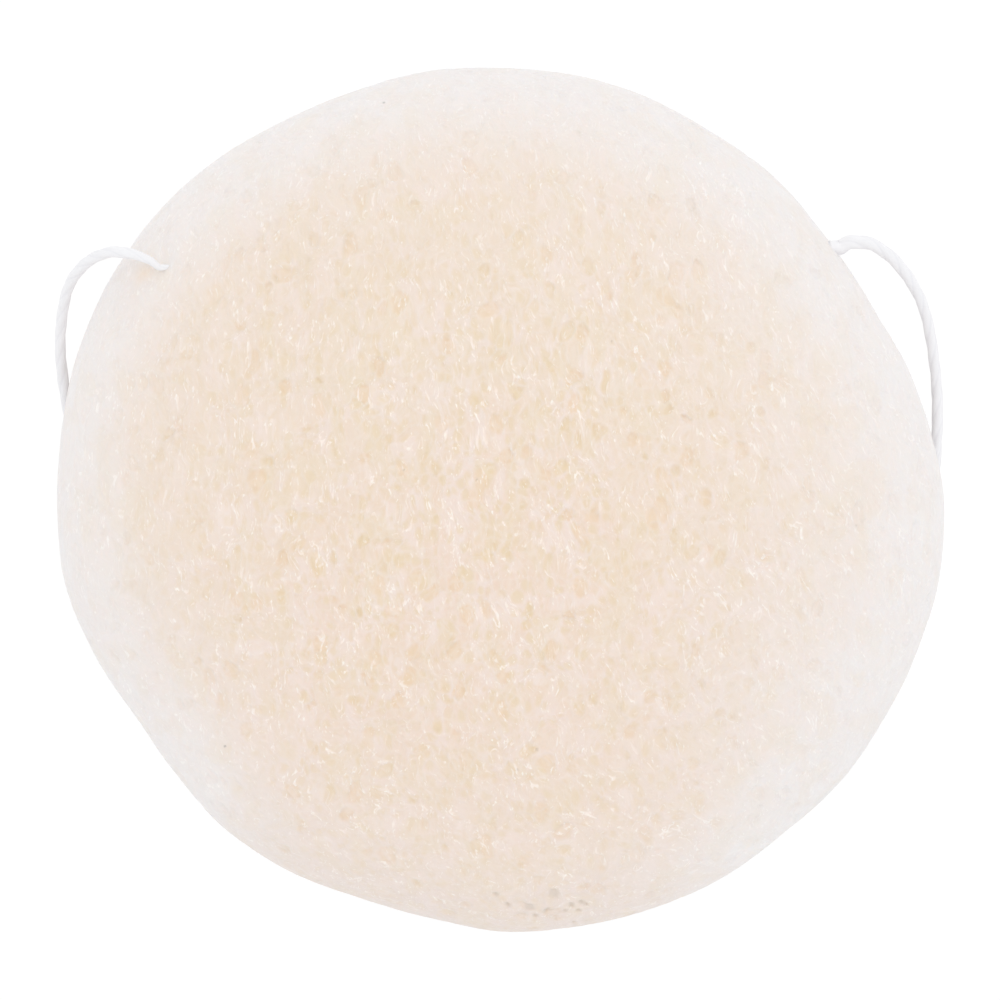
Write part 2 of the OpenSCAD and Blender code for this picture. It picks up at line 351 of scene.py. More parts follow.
def makeString(look):
    # one mesh for each stretch of the path, cut from the rings of the whole string
    path, spans = stringPath(look)
    along = framesOf(path)[0]
    first, last = spans["stringInside"]
    rings, crest, fibre = ropeRings(path, (first, last - 1), look)
    around, made = look["around"], {}
    for name, (first, last) in spans.items():
        n = last - first
        points = np.concatenate([rings[first:last].reshape(-1, 3), path[[first, last - 1]]])
        faces = [tubeQuads(n, around), *fanEnds(n, around)]
        crests = np.concatenate([crest[first:last].ravel(), [0, 0]])
        fibres = np.concatenate([fibre[first:last].reshape(-1, 3), np.zeros((2, 3))])
        if name in tufts["seeds"]:
            at, sign = (first, -1) if name == "stringTailLeft" else (last - 1, 1)
            seed = tufts["seeds"][name]
            more, quads, caps = tuft(path[at], sign * along[at], look["diameter"], tufts, seed)
            faces += [quads + len(points), caps + len(points)]
            points = np.concatenate([points, more])
            crests = np.concatenate([crests, np.full(len(more), tufts["crest"])])
            fibres = np.concatenate([fibres, more])
        made[name] = meshObject(name, points, faces)
        setNumbers(made[name], "crest", crests)
        setNumbers(made[name], "fibre", fibres)
    return made, path, spans


def lengthOf(line):
    # the summed lengths of its legs
    return float(np.linalg.norm(np.diff(line, axis=0), axis=1).sum())


stringPieces, stringLine, stringSpans = makeString(string)
for name, piece in stringPieces.items():
    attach(piece, "string_loop")
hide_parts("string_left_run")
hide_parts("string_right_run")
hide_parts("string_inner_run")
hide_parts("string_knot")
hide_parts("string_knot")
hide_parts("string_tail_left")
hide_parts("string_tail_right")
print("string: %.0f mm in %d pieces" % (lengthOf(stringLine) * 1000, len(stringPieces)))

sponge = {
    "width": 0.080,
    "height": 0.0315,
    "widestHeight": 0.009,  # of the widest section above the flat back
    "edgeWidth": 0.013,  # of the rounded edge under it
    "domePower": 2.2,  # 2 is an ellipse, more is squarer
    # radius of the widest section every 10 degrees from +X, as shares of half the width
    "outline": [
        1.01, 0.99, 0.97, 0.953, 0.955, 0.963, 0.96, 0.97, 0.975, 0.977, 0.983, 0.98,
        0.985, 0.997, 1.007, 1.01, 1.007, 1.0, 0.998, 1.0, 0.982, 0.96, 0.958, 0.97,
        0.965, 0.955, 0.96, 0.98, 0.985, 0.99, 0.995, 0.995, 1.005, 1.005, 1.01, 1.015,
    ],
    "meanShare": 0.985,  # of those shares
    "gridSteps": 320,  # along each side of the six patches
    "profilePoints": (1500, 600, 800),  # of the dome, the edge and the back
    "backDensity": 0.45,  # points on the flat back against the same area of the dome
    "leftHole": (-0.0298673, 0.0207372, 0.0198),
    "rightHole": (0.0299403, 0.0226748, 0.01125),
    "holeRadius": 0.00049,
    # radius of the left mouth, how far inside it the hole widens, and over what length
    "mouth": (0.0001, 0.0004, 0.0012),
    "cutter": {"past": 0.002, "step": 0.0002, "around": 32},
}

foam = {
    "cell": 0.0008, "fineCell": 0.00047, "bigCell": 0.0017,  # spacing, also of fine and big pores
    "stretch": (1.5, 8.5),  # length of a cell against its width, and more of it per metre of +Y
    "tall": 1.6,  # height of a cell against its width
    # how far cells stray, over what slow and quick lengths, and the share of the quick one
    "wander": (0.0004, 0.0023, 0.0011, 0.35),
    "bowl": (0.6, 0.3, 0.7),  # reach of the hollow in each cell, its least depth, and more by cell
    "wallWidth": 0.2,
    # round spots in the cells: their size, its variation, the width of their edge, and above which
    # of its own numbers, within what width, a cell has one, or below which where the width is minus
    "spots": {
        "patch": (0.46, 0.2, 0.3, 0.25, 0.45), "plain": (0.4, 0.2, 0.3, 0.3, -0.2),
        "finePit": (0.35, 0.25, 0.3, 0.35, 0.3), "bigPit": (0.31, 0.2, 0.17, 0.25, 0.4),
    },
    # big pits grow from how far towards -Y, over what length, and how much larger and more common
    "south": (0.012, 0.024, 0.15, 0.1),
    "bigNarrow": 1.15,
    # slow noise: length in metres and its own number, or stretch in cells, its number and a shift
    "drifts": {
        "pink": (0.0028, 51), "cluster": (0.0019, 56), "ragged": (0.00035, 52),
        "swell": (0.009, 41), "smallSwell": (0.004, 42),
        "lilac": ((0.9, 0.8, 0.9), 53, 7), "olive": (0.5, 54, 3), "fine": (1.9, 43, 0),
    },
    "tintFade": 0.9,  # power of what is left of the tints towards the pale rim
    "flecks": (0.4, 0.5, 0.5),  # power of the fade, share outside the clusters, more in them
    "fleck": 2.1,  # length of the bright flecks against their width
    # sideways lean of the upright ones, of the slanted ones at the middle, and its growth per metre
    "lean": (0.1, 0.4, 18.0),
    "depths": {"bowl": 0.00007, "finePit": 0.00003, "bigPit": 0.00016},
    "wallHeight": 0.00005, "poreDepth": 0.00018, "speckDepth": 0.00008, "fineHeight": 0.000025,
    "swell": (0.00016, 0.6, 0.4),  # slow unevenness: its height, shares of a large and a small one
    "footHeight": 0.002,  # up to which the swell grows, so that the sponge stands flat
    "backHeight": 0.0001,  # below which nothing stands out of the back
    # share of the pores' depth that is left at the widest section, the reach of that up and down,
    # and from what share of the radius on; the same share on the back, and up to what radius
    "rimCalm": (0.35, 0.009, 0.6),
    "backCalm": (0.7, 0.9),
    "drawnIn": ((0.00006, 0.0013), (0.0001, 0.0032)),  # round each hole: depths and widths
    "hushed": (0.8, 0.0014),  # share of the pores that goes there, and its width
    # painted warm shade under the string at the left hole: its place from there, stretch and width
    "warm": ((-0.0019, -0.0005, -0.0018), (0.7, 1.3, 0.7), 0.0009),
    "upperReach": 0.003,  # how far below the widest section pores and specks are cut
    "poreStretch": 1.15, "raggedness": 0.3,
    "speckRadius": 0.00009,
    "sunny": (-0.004, 0.026),  # where the greener foam starts, and the width of its rise
    # open pores near the lower rim, as the place seen from above and the radius
    "openPores": [
        (0.0063, -0.0363, 0.00024), (0.0072, -0.0361, 0.00026), (0.007, -0.0369, 0.00018),
        (0.0058, -0.0368, 0.00016), (0.0041, -0.0368, 0.0003), (0.0026, -0.0364, 0.00045),
        (0.0006, -0.0361, 0.00022), (0.0077, -0.0363, 0.00016), (0.0066, -0.038, 0.00014),
        (-0.0004, -0.0351, 0.00022), (0.0031, -0.0372, 0.0002), (0.0048, -0.0352, 0.0005),
    ],
    # dark specks, as the place seen from above and how dark each is
    "specks": [
        (-0.01048, 0.03543, 0.5), (-0.0246, -0.022, 0.45), (-0.0021, 0.0018, 0.22),
        (0.0032, -0.0221, 0.22), (0.0015, -0.0239, 0.2), (0.0098, 0.014, 0.2), (-0.0086, 0.0026, 0.22),
    ],
}

rim = {
    "reach": (0.2, 0.45),  # how much further in the pale foam reaches all round, and on the right
    "paler": 0.5,  # how much paler it grows over its last stretch
    # the bottom of the rim, darker with painted shade instead of pale
    "bottomWay": 265,  # degrees
    "bottomStart": (0.45, 0.3),  # cosine from that way at which the bottom starts, and more at the rim
    "bottomLoss": 0.6,  # of the paleness
    "fade": (0.3, 1.5, 0.65),  # loss of pores towards the rim, its power, and loss in the pale foam
}


def cornersOf(grid):
    # the four corners of each square of a grid, in turn
    return np.stack(
        [grid[..., :-1, :-1], grid[..., 1:, :-1], grid[..., 1:, 1:], grid[..., :-1, 1:]], axis=-1
    )


def lattice(n, tile=(1 / 3, 0.48), margin=0.01):
    # the six faces of a cube of n steps as whole-number points, shared along its edges, with quads
    # that face outwards and each quad's four corners on a flat map of the six faces
    i, j = np.meshgrid(np.arange(n + 1), np.arange(n + 1), indexing="ij")
    grids = np.array([
        np.roll(np.stack([0 * i + level, i, j], axis=-1), axis, axis=-1)
        for axis in range(3) for level in (n, 0)
    ])
    points, index = np.unique(grids.reshape(-1, 3)[:, ::-1], axis=0, return_inverse=True)
    quads = cornersOf(index.reshape(6, n + 1, n + 1))
    places = np.stack([cornersOf(i / n), cornersOf(j / n)], axis=-1)
    corner = np.array([(f % 3, f // 3) for f in range(6)]) * tile
    mapped = corner[:, None, None, None] + tile * (margin + (1 - 2 * margin) * places[None])
    for f in (1, 3, 5):
        quads[f], mapped[f] = quads[f][..., ::-1], mapped[f][..., ::-1, :]
    return points[:, ::-1], quads.reshape(-1, 4), mapped.reshape(-1, 2)


def outlineRadius(look, turn):
    # smooth through the shares, and scaled so that the widest section is as wide as it should be;
    # also the middle of the outline's box, which goes to the origin
    shares = np.array(look["outline"])
    n = len(shares)

    def radius(t):
        at = t / (2 * np.pi) * n
        i = np.floor(at).astype(int)
        return between(*(shares[(i + k) % n] for k in (-1, 0, 1, 2)), at - i)

    t = np.linspace(0, 2 * np.pi, 3601)  # every tenth of a degree
    x, y = radius(t) * np.cos(t), radius(t) * np.sin(t)
    scale = look["width"] / (x.max() - x.min())
    middle = -scale * np.array([x.max() + x.min(), y.max() + y.min()]) / 2
    return scale * radius(turn % (2 * np.pi)), middle


def spongeProfile(look):
    # from the top of the dome down to the middle of the back: the dome is a superellipse, the edge a
    # quarter ellipse, and the back flat. A radius is (outline x reach - inset) x share.
    onDome, onEdge, onBack = look["profilePoints"]
    a = np.linspace(np.pi / 2, 0, onDome)
    power = 2 / look["domePower"]
    reach, rise = np.cos(a) ** power, np.sin(a) ** power
    domeHeight = look["height"] - look["widestHeight"]
    dome = np.stack([reach, 0 * a, 0 * a + 1, look["widestHeight"] + rise * domeHeight], axis=1)
    b = np.linspace(np.pi / 2, 0, onEdge)[1:]
    inset = look["edgeWidth"] * (1 - np.sin(b))
    edge = np.stack([0 * b + 1, inset, 0 * b + 1, look["widestHeight"] * (1 - np.cos(b))], axis=1)
    q = np.linspace(1, 0, onBack)[1:]
    back = np.stack([0 * q + 1, 0 * q + look["edgeWidth"], q, 0 * q], axis=1)
    rows = np.concatenate([dome, edge, back])
    typical = look["width"] / 2 * look["meanShare"]
    radius = (typical * rows[:, 0] - rows[:, 1]) * rows[:, 2]
    steps = np.hypot(np.diff(radius), np.diff(rows[:, 3]))
    weight = np.where(rows[1:, 2] < 1, look["backDensity"], 1)
    area = np.concatenate([[0], np.cumsum(steps * (radius[1:] + radius[:-1]) * weight)])
    return rows, area / area[-1]


def spongeSurface(look, directions):
    # each direction from the middle of a ball goes to the sponge: its turn stays, and the share of
    # the ball's area above it picks the place down the profile with the same share of the sponge's
    turn = np.arctan2(directions[:, 1], directions[:, 0])
    rows, area = spongeProfile(look)
    share = (1 - directions[:, 2]) / 2
    reach, inset, q, z = (np.interp(share, area, rows[:, k]) for k in range(4))
    radius, middle = outlineRadius(look, turn)
    r = (radius * reach - inset) * q
    place = np.stack([middle[0] + r * np.cos(turn), middle[1] + r * np.sin(turn), z], axis=1)
    return place, r / radius, turn


# large odd numbers that mix digits well
mixers = np.array([374761393, 668265263, 2246822519, 1274126177, 2654435761], np.uint32)
saltMixer = 3266489917


def scatter(ix, iy, iz, salt):
    # an even but irregular number from 0 to 1 for each whole-number place, by mixing its digits
    with np.errstate(over="ignore"):
        h = sum(i.astype(np.uint32) * mixer for i, mixer in zip((ix, iy, iz), mixers))
        h = h + np.uint32(salt * saltMixer % 2**32)
        h = (h ^ (h >> np.uint32(13))) * mixers[3]
        h = (h ^ (h >> np.uint32(16))) * mixers[4]
        h = h ^ (h >> np.uint32(15))
    return h.astype(np.float32) / np.float32(2**32)


def drift(p, salt):
    # smooth noise from -1 to 1: numbers scattered on whole-number places, eased between eight of them
    base = np.floor(p).astype(np.int32)
    f = (p - base).astype(np.float32)
    f = f * f * f * (f * (f * 6 - 15) + 10)
    total = np.zeros(len(p), np.float32)
    for i, j, k in np.ndindex(2, 2, 2):
        w = np.abs(1 - i - f[:, 0]) * np.abs(1 - j - f[:, 1]) * np.abs(1 - k - f[:, 2])
        total += w * scatter(base[:, 0] + i, base[:, 1] + j, base[:, 2] + k, salt)
    return total * 2 - 1


def cells(p, salt, stray=0.9):
    # each point's distance to the nearest cell middle, one middle strayed in each unit box, how much
    # further the second nearest is, and the nearest cell's two own numbers
    base = np.floor(p).astype(np.int32)
    near = np.full(len(p), 9, np.float32)
    second, own, other = near.copy(), near * 0, near * 0
    for step in np.ndindex(3, 3, 3):
        box = [base[:, m] + step[m] - 1 for m in range(3)]
        dx, dy, dz = (
            box[m] + 0.5 + stray * (scatter(*box, salt + m) - 0.5) - p[:, m] for m in range(3)
        )
        d = np.sqrt(dx * dx + dy * dy + dz * dz).astype(np.float32)
        closer = d < near
        second = np.where(closer, near, np.minimum(second, d))
        own = np.where(closer, scatter(*box, salt + 3), own)
        other = np.where(closer, scatter(*box, salt + 4), other)
        near = np.where(closer, d, near)
    return near, second - near, own, other


def foamPlace(look, p):
    # where a point lies among the cells: y drawn together where cells are long, all of it wandering
    stretch, growth = look["stretch"]
    y = np.log1p(growth * p[:, 1] / stretch) / growth
    place = np.stack([p[:, 0], y, p[:, 2] / look["tall"]], axis=1)
    far, slow, quick, share = look["wander"]
    stray = [drift(p / slow, 21 + k) + share * drift(p / quick, 26 + k) for k in range(3)]
    return ((place + far * np.stack(stray, axis=1)) / look["cell"]).astype(np.float32)


def leaning(place, lean, length):
    # the cells' places sheared sideways and drawn together along y, for flecks that run that way
    return np.stack([place[:, 0] + lean * place[:, 1], place[:, 1] / length, place[:, 2]], axis=1)


def rimFields(look, body, p, share, turn):
    # pale: the smooth rim, share^3, partly its own paler skin and partly painted light at the edge,
    # which reaches further in on the right and gives way to painted shade over the bottom.
    # fade: how much of the pores is left, less towards the rim
    allRound, onRight = look["reach"]
    across = share + (allRound + onRight * np.cos(turn)) * share * (1 - share)
    least, more = look["bottomStart"]
    start = least + more * ramp(share, 0.75, 0.2)
    bottom = ramp(np.cos(turn - np.radians(look["bottomWay"])), start, 1 - start)
    pale = 1 - (1 - np.clip(across, 0, 1) ** 3) * (1 - look["paler"] * ramp(share, 0.76, 0.16))
    pale = pale * (1 - look["bottomLoss"] * bottom)
    below = p[:, 2] < body["widestHeight"]
    pale = np.where(below, np.minimum(pale, ramp(share, 0.55, 0.4)), pale)
    # painted shade over the bottom of the rim
    shade = bottom * ramp(share, 0.8, 0.2)
    atRim, power, inPale = look["fade"]
    fade = (1 - atRim * share**power) * (1 - inPale * pale)
    return pale, shade, fade


def spot(near, own, other, numbers, more=0):
    # 1 inside a round spot in the middle of a cell, its size by the cell's first own number, and
    # only in the cells that their second own number picks
    size, vary, edge, least, width = numbers
    return eased((size + vary * own - near) / edge) * eased((other - least + more) / width)


def cellMasks(look, place, p):
    # what goes by the distance to the middles of the cells, of the finest cells and of the big pores
    near, gap, own, other = cells(place, 1)
    reach, least, vary = look["bowl"]
    masks = {
        "bowl": eased(1 - near / reach) * (least + vary * other),
        "patch": spot(near, own, other, look["spots"]["patch"]),
        "wall": eased(1 - gap / look["wallWidth"]),
        "plain": spot(near, own, other, look["spots"]["plain"]),
    }
    near, _, own, other = cells(place * look["cell"] / look["fineCell"], 61)
    masks["finePit"] = spot(near, own, other, look["spots"]["finePit"])
    start, width, larger, commoner = look["south"]
    south = ramp(-p[:, 1], start, width)
    scale = look["cell"] / look["bigCell"] * (1 - larger * south)
    stretched = np.stack([scale, scale * look["bigNarrow"], scale], axis=1)
    near, _, own, other = cells(place * stretched, 31)
    masks["bigPit"] = spot(near, own, other, look["spots"]["bigPit"], commoner * south)
    masks["orange"] = ramp(own, 0.5, 0.2)
    return masks


def openings(look, body, p, ragged):
    # open pores with ragged edges, and specks, at their places on the upper side
    upper = p[:, 2] > body["widestHeight"] - look["upperReach"]
    pore = np.zeros(len(p), np.float32)
    for x, y, r in look["openPores"]:
        away = np.hypot(p[:, 0] - x, (p[:, 1] - y) * look["poreStretch"]) / r * ragged
        pore = np.maximum(pore, ramp(away, 1.4, -0.9) * upper)
    speck = np.zeros(len(p), np.float32)
    for x, y, dark in look["specks"]:
        away = np.hypot(p[:, 0] - x, p[:, 1] - y) / look["speckRadius"]
        speck = np.maximum(speck, dark * ramp(away, 1.7, -1.1) * upper)
    return pore, speck


def bell(distance, width):
    # e^-(distance / width)²
    return np.exp(-((distance / width) ** 2))


def holeFields(look, body, p):
    # how deep the foam is drawn in round the holes, how few pores are left there, and a warm painted
    # shade under the string at the left one
    depth, hush = np.zeros(len(p)), np.zeros(len(p))
    (steep, near), (wide, far) = look["drawnIn"]
    for hole in (body["leftHole"], body["rightHole"]):
        reach = np.linalg.norm(p - hole, axis=1)
        depth += steep * bell(reach, near) + wide * bell(reach, far)
        hush = np.maximum(hush, bell(reach, look["hushed"][1]))
    offset, stretch, width = look["warm"]
    under = np.linalg.norm((p - body["leftHole"] - offset) * stretch, axis=1)
    return depth, hush, bell(under, width)


def foamFields(look, body, p, share, turn):
    # every mask of the foam from 0 to 1, and how far each point moves along its normal
    place = foamPlace(look, p)

    def drifting(name):
        size, salt, *shift = look["drifts"][name]
        return drift(place * size + shift[0] if shift else p / size, salt)

    pale, shade, fade = rimFields(rim, body, p, share, turn)
    masks = cellMasks(look, place, p)
    pore, speck = openings(look, body, p, 1 + look["raggedness"] * drifting("ragged"))
    depth, hush, warm = holeFields(look, body, p)
    # calm: pores grow shallow towards the widest section and on the back
    left, height, least = look["rimCalm"]
    band = eased(1 - np.abs(p[:, 2] - body["widestHeight"]) / height) * (share > least)
    calm = 1 - (1 - left) * band
    left, most = look["backCalm"]
    back = (p[:, 2] < body["widestHeight"]) & (share < most)
    calm = np.where(back, np.minimum(calm, left), calm)
    # no slow swell at the base, so that the sponge stands flat
    swell, large, small = look["swell"]
    slow = drifting("swell") * large + drifting("smallSwell") * small
    standing = eased(p[:, 2] / look["footHeight"])
    fine = (drifting("fine") * look["fineHeight"]) * calm
    calm = calm * (1 - look["hushed"][0] * hush)
    pits = sum(depth * masks[name] for name, depth in look["depths"].items())
    move = (
        swell * slow * standing + calm * (look["wallHeight"] * masks["wall"] - pits)
        - look["poreDepth"] * pore - look["speckDepth"] * speck - depth + fine * standing
    )
    move = np.where(p[:, 2] < look["backHeight"], np.minimum(move, 0), move)
    # the bright flecks, painted glints, come in clusters
    cluster = ramp(drifting("cluster"), -0.4, 0.9)
    masks["lilac"] = eased((drifting("lilac") - 0.25 + 0.4 * cluster) / 0.4)
    masks["olive"] = ramp(drifting("olive"), 0.05, 0.5)
    masks["pink"] = 0.5 + 0.5 * drifting("pink")
    # the tints go out before the flecks do, and the foam is greener away from the bottom
    tinted = fade * (1 - pale) ** look["tintFade"]
    masks["sunny"] = ramp(p[:, 1] + 0.5 * np.abs(p[:, 0]), *look["sunny"])
    for name in ("patch", "finePit", "bigPit", "sunny"):
        masks[name] = masks[name] * tinted
    for name in ("wall", "plain", "pink", "lilac", "olive"):
        masks[name] = masks[name] * fade
    power, single, clustered = look["flecks"]
    masks["lively"] = fade**power * (single + clustered * cluster)
    del masks["bowl"]
    masks.update(
        fade=fade, pale=pale, shade=shade, pore=pore, speck=speck, warm=warm, foamPlace=place
    )
    return masks, move


def tunnelCutter(body):
    # a straight tube along the holes' line, narrow at its left mouth, closed at both ends by fans
    start, end = np.array(body["leftHole"]), np.array(body["rightHole"])
    way = (end - start) / np.linalg.norm(end - start)
    past, step, around = body["cutter"].values()
    path = evenly(np.stack([start - way * past, end + way * past]), step)
    aside, up = framesOf(path)[1:]
    k = 2 * np.pi * np.arange(around) / around
    narrow, inside, widening = body["mouth"]
    wide = ramp((path - start) @ way, inside, widening)
    radius = (narrow + (body["holeRadius"] - narrow) * wide)[:, None, None]
    ring = radius * (np.cos(k)[None, :, None] * aside[:, None] + np.sin(k)[None, :, None] * up[:, None])
    points = np.concatenate([(path[:, None] + ring).reshape(-1, 3), path[[0, -1]]])
    faces = [tubeQuads(len(path), around), *fanEnds(len(path), around)]
    return meshObject("tunnelCutter", points, faces)


def makeSponge(body, look):
    # a ball of six square patches, laid over the sponge's shape and moved by the foam's fields
    points, quads, mapped = lattice(body["gridSteps"])
    directions = np.tan((2 * points / body["gridSteps"] - 1) * np.pi / 4)
    directions /= np.linalg.norm(directions, axis=1, keepdims=True)
    p, share, turn = spongeSurface(body, directions)
    made = meshObject("konjacSponge", p, [quads])
    masks, move = foamFields(look, body, p, share, turn)
    normals = np.empty(p.shape, np.float32)
    made.data.vertex_normals.foreach_get("vector", normals.ravel())
    moved = p + normals * move[:, None]
    moved[:, 2] = np.maximum(moved[:, 2], 0)
    made.data.vertices.foreach_set("co", moved.astype(np.float32).ravel())
    made.data.update()
    place = masks["foamPlace"]
    upright, start, growth = look["lean"]
    slanted = leaning(place, start + growth * p[:, 0], look["fleck"]) + 40  # elsewhere in the noise
    masks.update(uprightPlace=leaning(place, upright, look["fleck"]), slantedPlace=slanted)
    for name, values in masks.items():
        setNumbers(made, name, values)
    flat = made.data.uv_layers.new(name="OFBake")
    flat.uv.foreach_set("vector", mapped.astype(np.float32).ravel())
    return made


spongePiece = makeSponge(sponge, foam)
print("sponge: %d points" % len(spongePiece.data.vertices))
cutter = tunnelCutter(sponge)
bore = spongePiece.modifiers.new("bore", "BOOLEAN")
bore.object, bore.operation, bore.solver = cutter, "DIFFERENCE", "MANIFOLD"
graph = bpy.context.evaluated_depsgraph_get()
bored = bpy.data.meshes.new_from_object(spongePiece.evaluated_get(graph))
spongePiece.modifiers.clear()
spongePiece.data = bored
bpy.data.objects.remove(cutter)
print("sponge: %d points with its tunnel" % len(bored.vertices))
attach(spongePiece, "sponge")
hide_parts("sponge_body")

foamColours = {
    "cream": (0.858, 0.704, 0.584, 1),
    "rim": (0.874, 0.85, 0.85, 1),  # round the widest section: a paler skin, partly painted light at the edge
    "shade": (0.79, 0.685, 0.645, 1),  # painted shade of the lower rim
    # tints of the hollows: yellower foam, darkened in part as painted shade where the hollows lie
    "patch": (0.832, 0.69, 0.50, 1),  # at the bottom of the cells
    "yellowPit": (0.852, 0.697, 0.47, 1),
    "orangePit": (0.875, 0.685, 0.49, 1),
    "finePit": (0.825, 0.69, 0.53, 1),
    "wall": (0.895, 0.795, 0.73, 1),
    "pink": (0.885, 0.725, 0.66, 1),
    "lilac": (0.895, 0.78, 0.745, 1),  # between the cells
    "olive": (0.842, 0.72, 0.555, 1),
    "sunny": (0.846, 0.735, 0.602, 1),
    # painted highlights: streak, flecks and glints are brighter than the foam where its torn walls
    # catch light
    "streak": (0.925, 0.82, 0.775, 1),
    "fleck": (1.0, 0.88, 0.81, 1),  # painted glints on the edges of torn cell walls
    "glint": (1.0, 0.92, 0.85, 1),
    "paleFleck": (1.0, 0.97, 0.945, 1),  # the same in the pale foam
    # painted shade under the string at the left hole
    "warm": (0.90, 0.72, 0.55, 1),
    # painted shade inside the open pores
    "pore": (0.70, 0.61, 0.52, 1),
    "speck": (0.10, 0.08, 0.07, 1),
    # the tints in their order, and how much of each shows where its mask is full
    "shares": {
        "shade": 0.6, "sunny": 1.0, "pink": 0.4, "mottle": 0.2, "olive": 0.5, "lilac": 0.45,
        "plain": 0.5, "finePit": 0.7, "patch": 0.7, "bigPit": 0.7, "wall": 0.3, "streak": 0.4,
        "upright": 0.8, "slanted": 0.86, "glint": 0.95, "warm": 0.45, "pore": 0.6, "speck": 1.0,
    },
    # scale, detail, the levels between which the mask rises, and bend
    "grains": {
        "mottle": (260.0, 3.0, 0.38, 0.62),
        "upright": (1.75, 1.5, 0.62, 0.75, 1.4),
        "slanted": (1.75, 1.5, 0.62, 0.75, 1.2),
        "streak": (1.3, 1.0, 0.56, 0.7, 1.0),
        "spark": (5.0, 0.0, 0.61, 0.7),
        "grit": (4.0, 2.0, 0.4, 0.6),
    },
    "sparkStretch": (1.0, 0.7, 1.0),
    "glintReach": (0.57, 0.68),  # levels of the flecks' noise between which sparks begin
    "roughness": (0.62, 0.3),  # of the foam and of the sparks
    "specular": 0.35,
    "subsurface": (0.25, (1.0, 0.85, 0.7), 0.0008),  # its share, tint and depth
    "sheen": 0.35,
    "bump": (0.6, 0.00009),  # strength and depth
    "fleckHeight": 0.4,  # of the flecks in the bump, against the grit
}

cottonColours = {
    # painted shade in the valleys between the plies
    "valley": (0.855, 0.855, 0.885, 1),
    "crest": (0.905, 0.905, 0.925, 1),
    "fibre": (0.885, 0.885, 0.91, 1),
    "crestLevels": (0.0, 0.6),
    "fibreStretch": (0.12, 1.0, 1.0),
    "fibreGrain": (9000.0, 2.0, 0.42, 0.6),
    "fibreShare": 0.5,
    "roughness": (0.77, 0.9),  # between the fibres and on them
    "specular": 0.2, "sheen": 0.4,
    "bump": (0.7, 0.00002),
}


def addNode(tree, kind, inputs=None, **settings):
    # a node with its settings, each input linked to a socket or set to a value
    node = tree.nodes.new("ShaderNode" + kind)
    for key, value in settings.items():
        setattr(node, key, value)
    for key, value in (inputs or {}).items():
        if isinstance(value, bpy.types.NodeSocket):
            tree.links.new(value, node.inputs[key])
        else:
            node.inputs[key].default_value = value
    return node


def newMaterial(name, made=bpy.data.materials):
    # a material, or a world, without nodes yet
    material = made.new(name)
    material.use_nodes = True
    material.node_tree.nodes.clear()
    return material, material.node_tree


def stepped(tree, value, low, high):
    # 0 up to low, 1 from high on, and eased between them
    inputs = {"Value": value, "From Min": low, "From Max": high}
    return addNode(tree, "MapRange", inputs, interpolation_type="SMOOTHSTEP").outputs["Result"]


def ranged(tree, value, low, high):
    # low where the value is 0, high where it is 1, and straight between them
    node = addNode(tree, "MapRange", {"Value": value, "To Min": low, "To Max": high})
    return node.outputs["Result"]


def worked(tree, operation, *values):
    # the sum, product or larger one of some values
    return addNode(tree, "Math", dict(enumerate(values)), operation=operation).outputs[0]


def scaled(tree, value, factor):
    return worked(tree, "MULTIPLY", value, factor)


def blendColour(tree, amount, first, second):
    mix = addNode(tree, "Mix", {"Factor": amount, "A": first, "B": second}, data_type="RGBA")
    return mix.outputs["Result"]


def attribute(tree, name, output="Fac"):
    return addNode(tree, "Attribute", attribute_name=name).outputs[output]


def grainGroup():
    # soft grain, shared by the foam and the cotton: noise on a stretched vector, cut to a mask
    # between two levels
    group = bpy.data.node_groups.new("softGrain", "ShaderNodeTree")
    for kind, names in (
        ("NodeSocketVector", ("Vector", "Stretch")),
        ("NodeSocketFloat", ("Scale", "Detail", "Bend", "From", "To")),
    ):
        for name in names:
            group.interface.new_socket(name=name, in_out="INPUT", socket_type=kind)
    for name in ("Mask", "Height"):
        group.interface.new_socket(name=name, in_out="OUTPUT", socket_type="NodeSocketFloat")
    inside, outside = group.nodes.new("NodeGroupInput"), group.nodes.new("NodeGroupOutput")
    given = inside.outputs
    both = {0: given["Vector"], 1: given["Stretch"]}
    stretched = addNode(group, "VectorMath", both, operation="MULTIPLY")
    noise = addNode(group, "TexNoise", {
        "Vector": stretched.outputs[0], "Scale": given["Scale"], "Detail": given["Detail"],
        "Distortion": given["Bend"],
    })
    mask = stepped(group, noise.outputs["Fac"], given["From"], given["To"])
    group.links.new(mask, outside.inputs["Mask"])
    group.links.new(noise.outputs["Fac"], outside.inputs["Height"])
    return group


def grainOf(tree, group, vector, stretch, scale, detail, low, high, bend=0.0):
    return addNode(tree, "Group", {
        "Vector": vector, "Stretch": stretch, "Scale": scale, "Detail": detail, "Bend": bend,
        "From": low, "To": high,
    }, node_tree=group).outputs


def finishMaterial(tree, look, colour, roughness, height, inputs):
    # the shader of both materials, with its bump
    strength, depth = look["bump"]
    bump = addNode(tree, "Bump", {"Strength": strength, "Distance": depth, "Height": height})
    shader = addNode(tree, "BsdfPrincipled", {
        "Base Color": colour, "Roughness": roughness, "Normal": bump.outputs["Normal"],
        "Sheen Weight": look["sheen"], "Specular IOR Level": look["specular"], **inputs,
    })
    addNode(tree, "OutputMaterial", {"Surface": shader.outputs["BSDF"]})


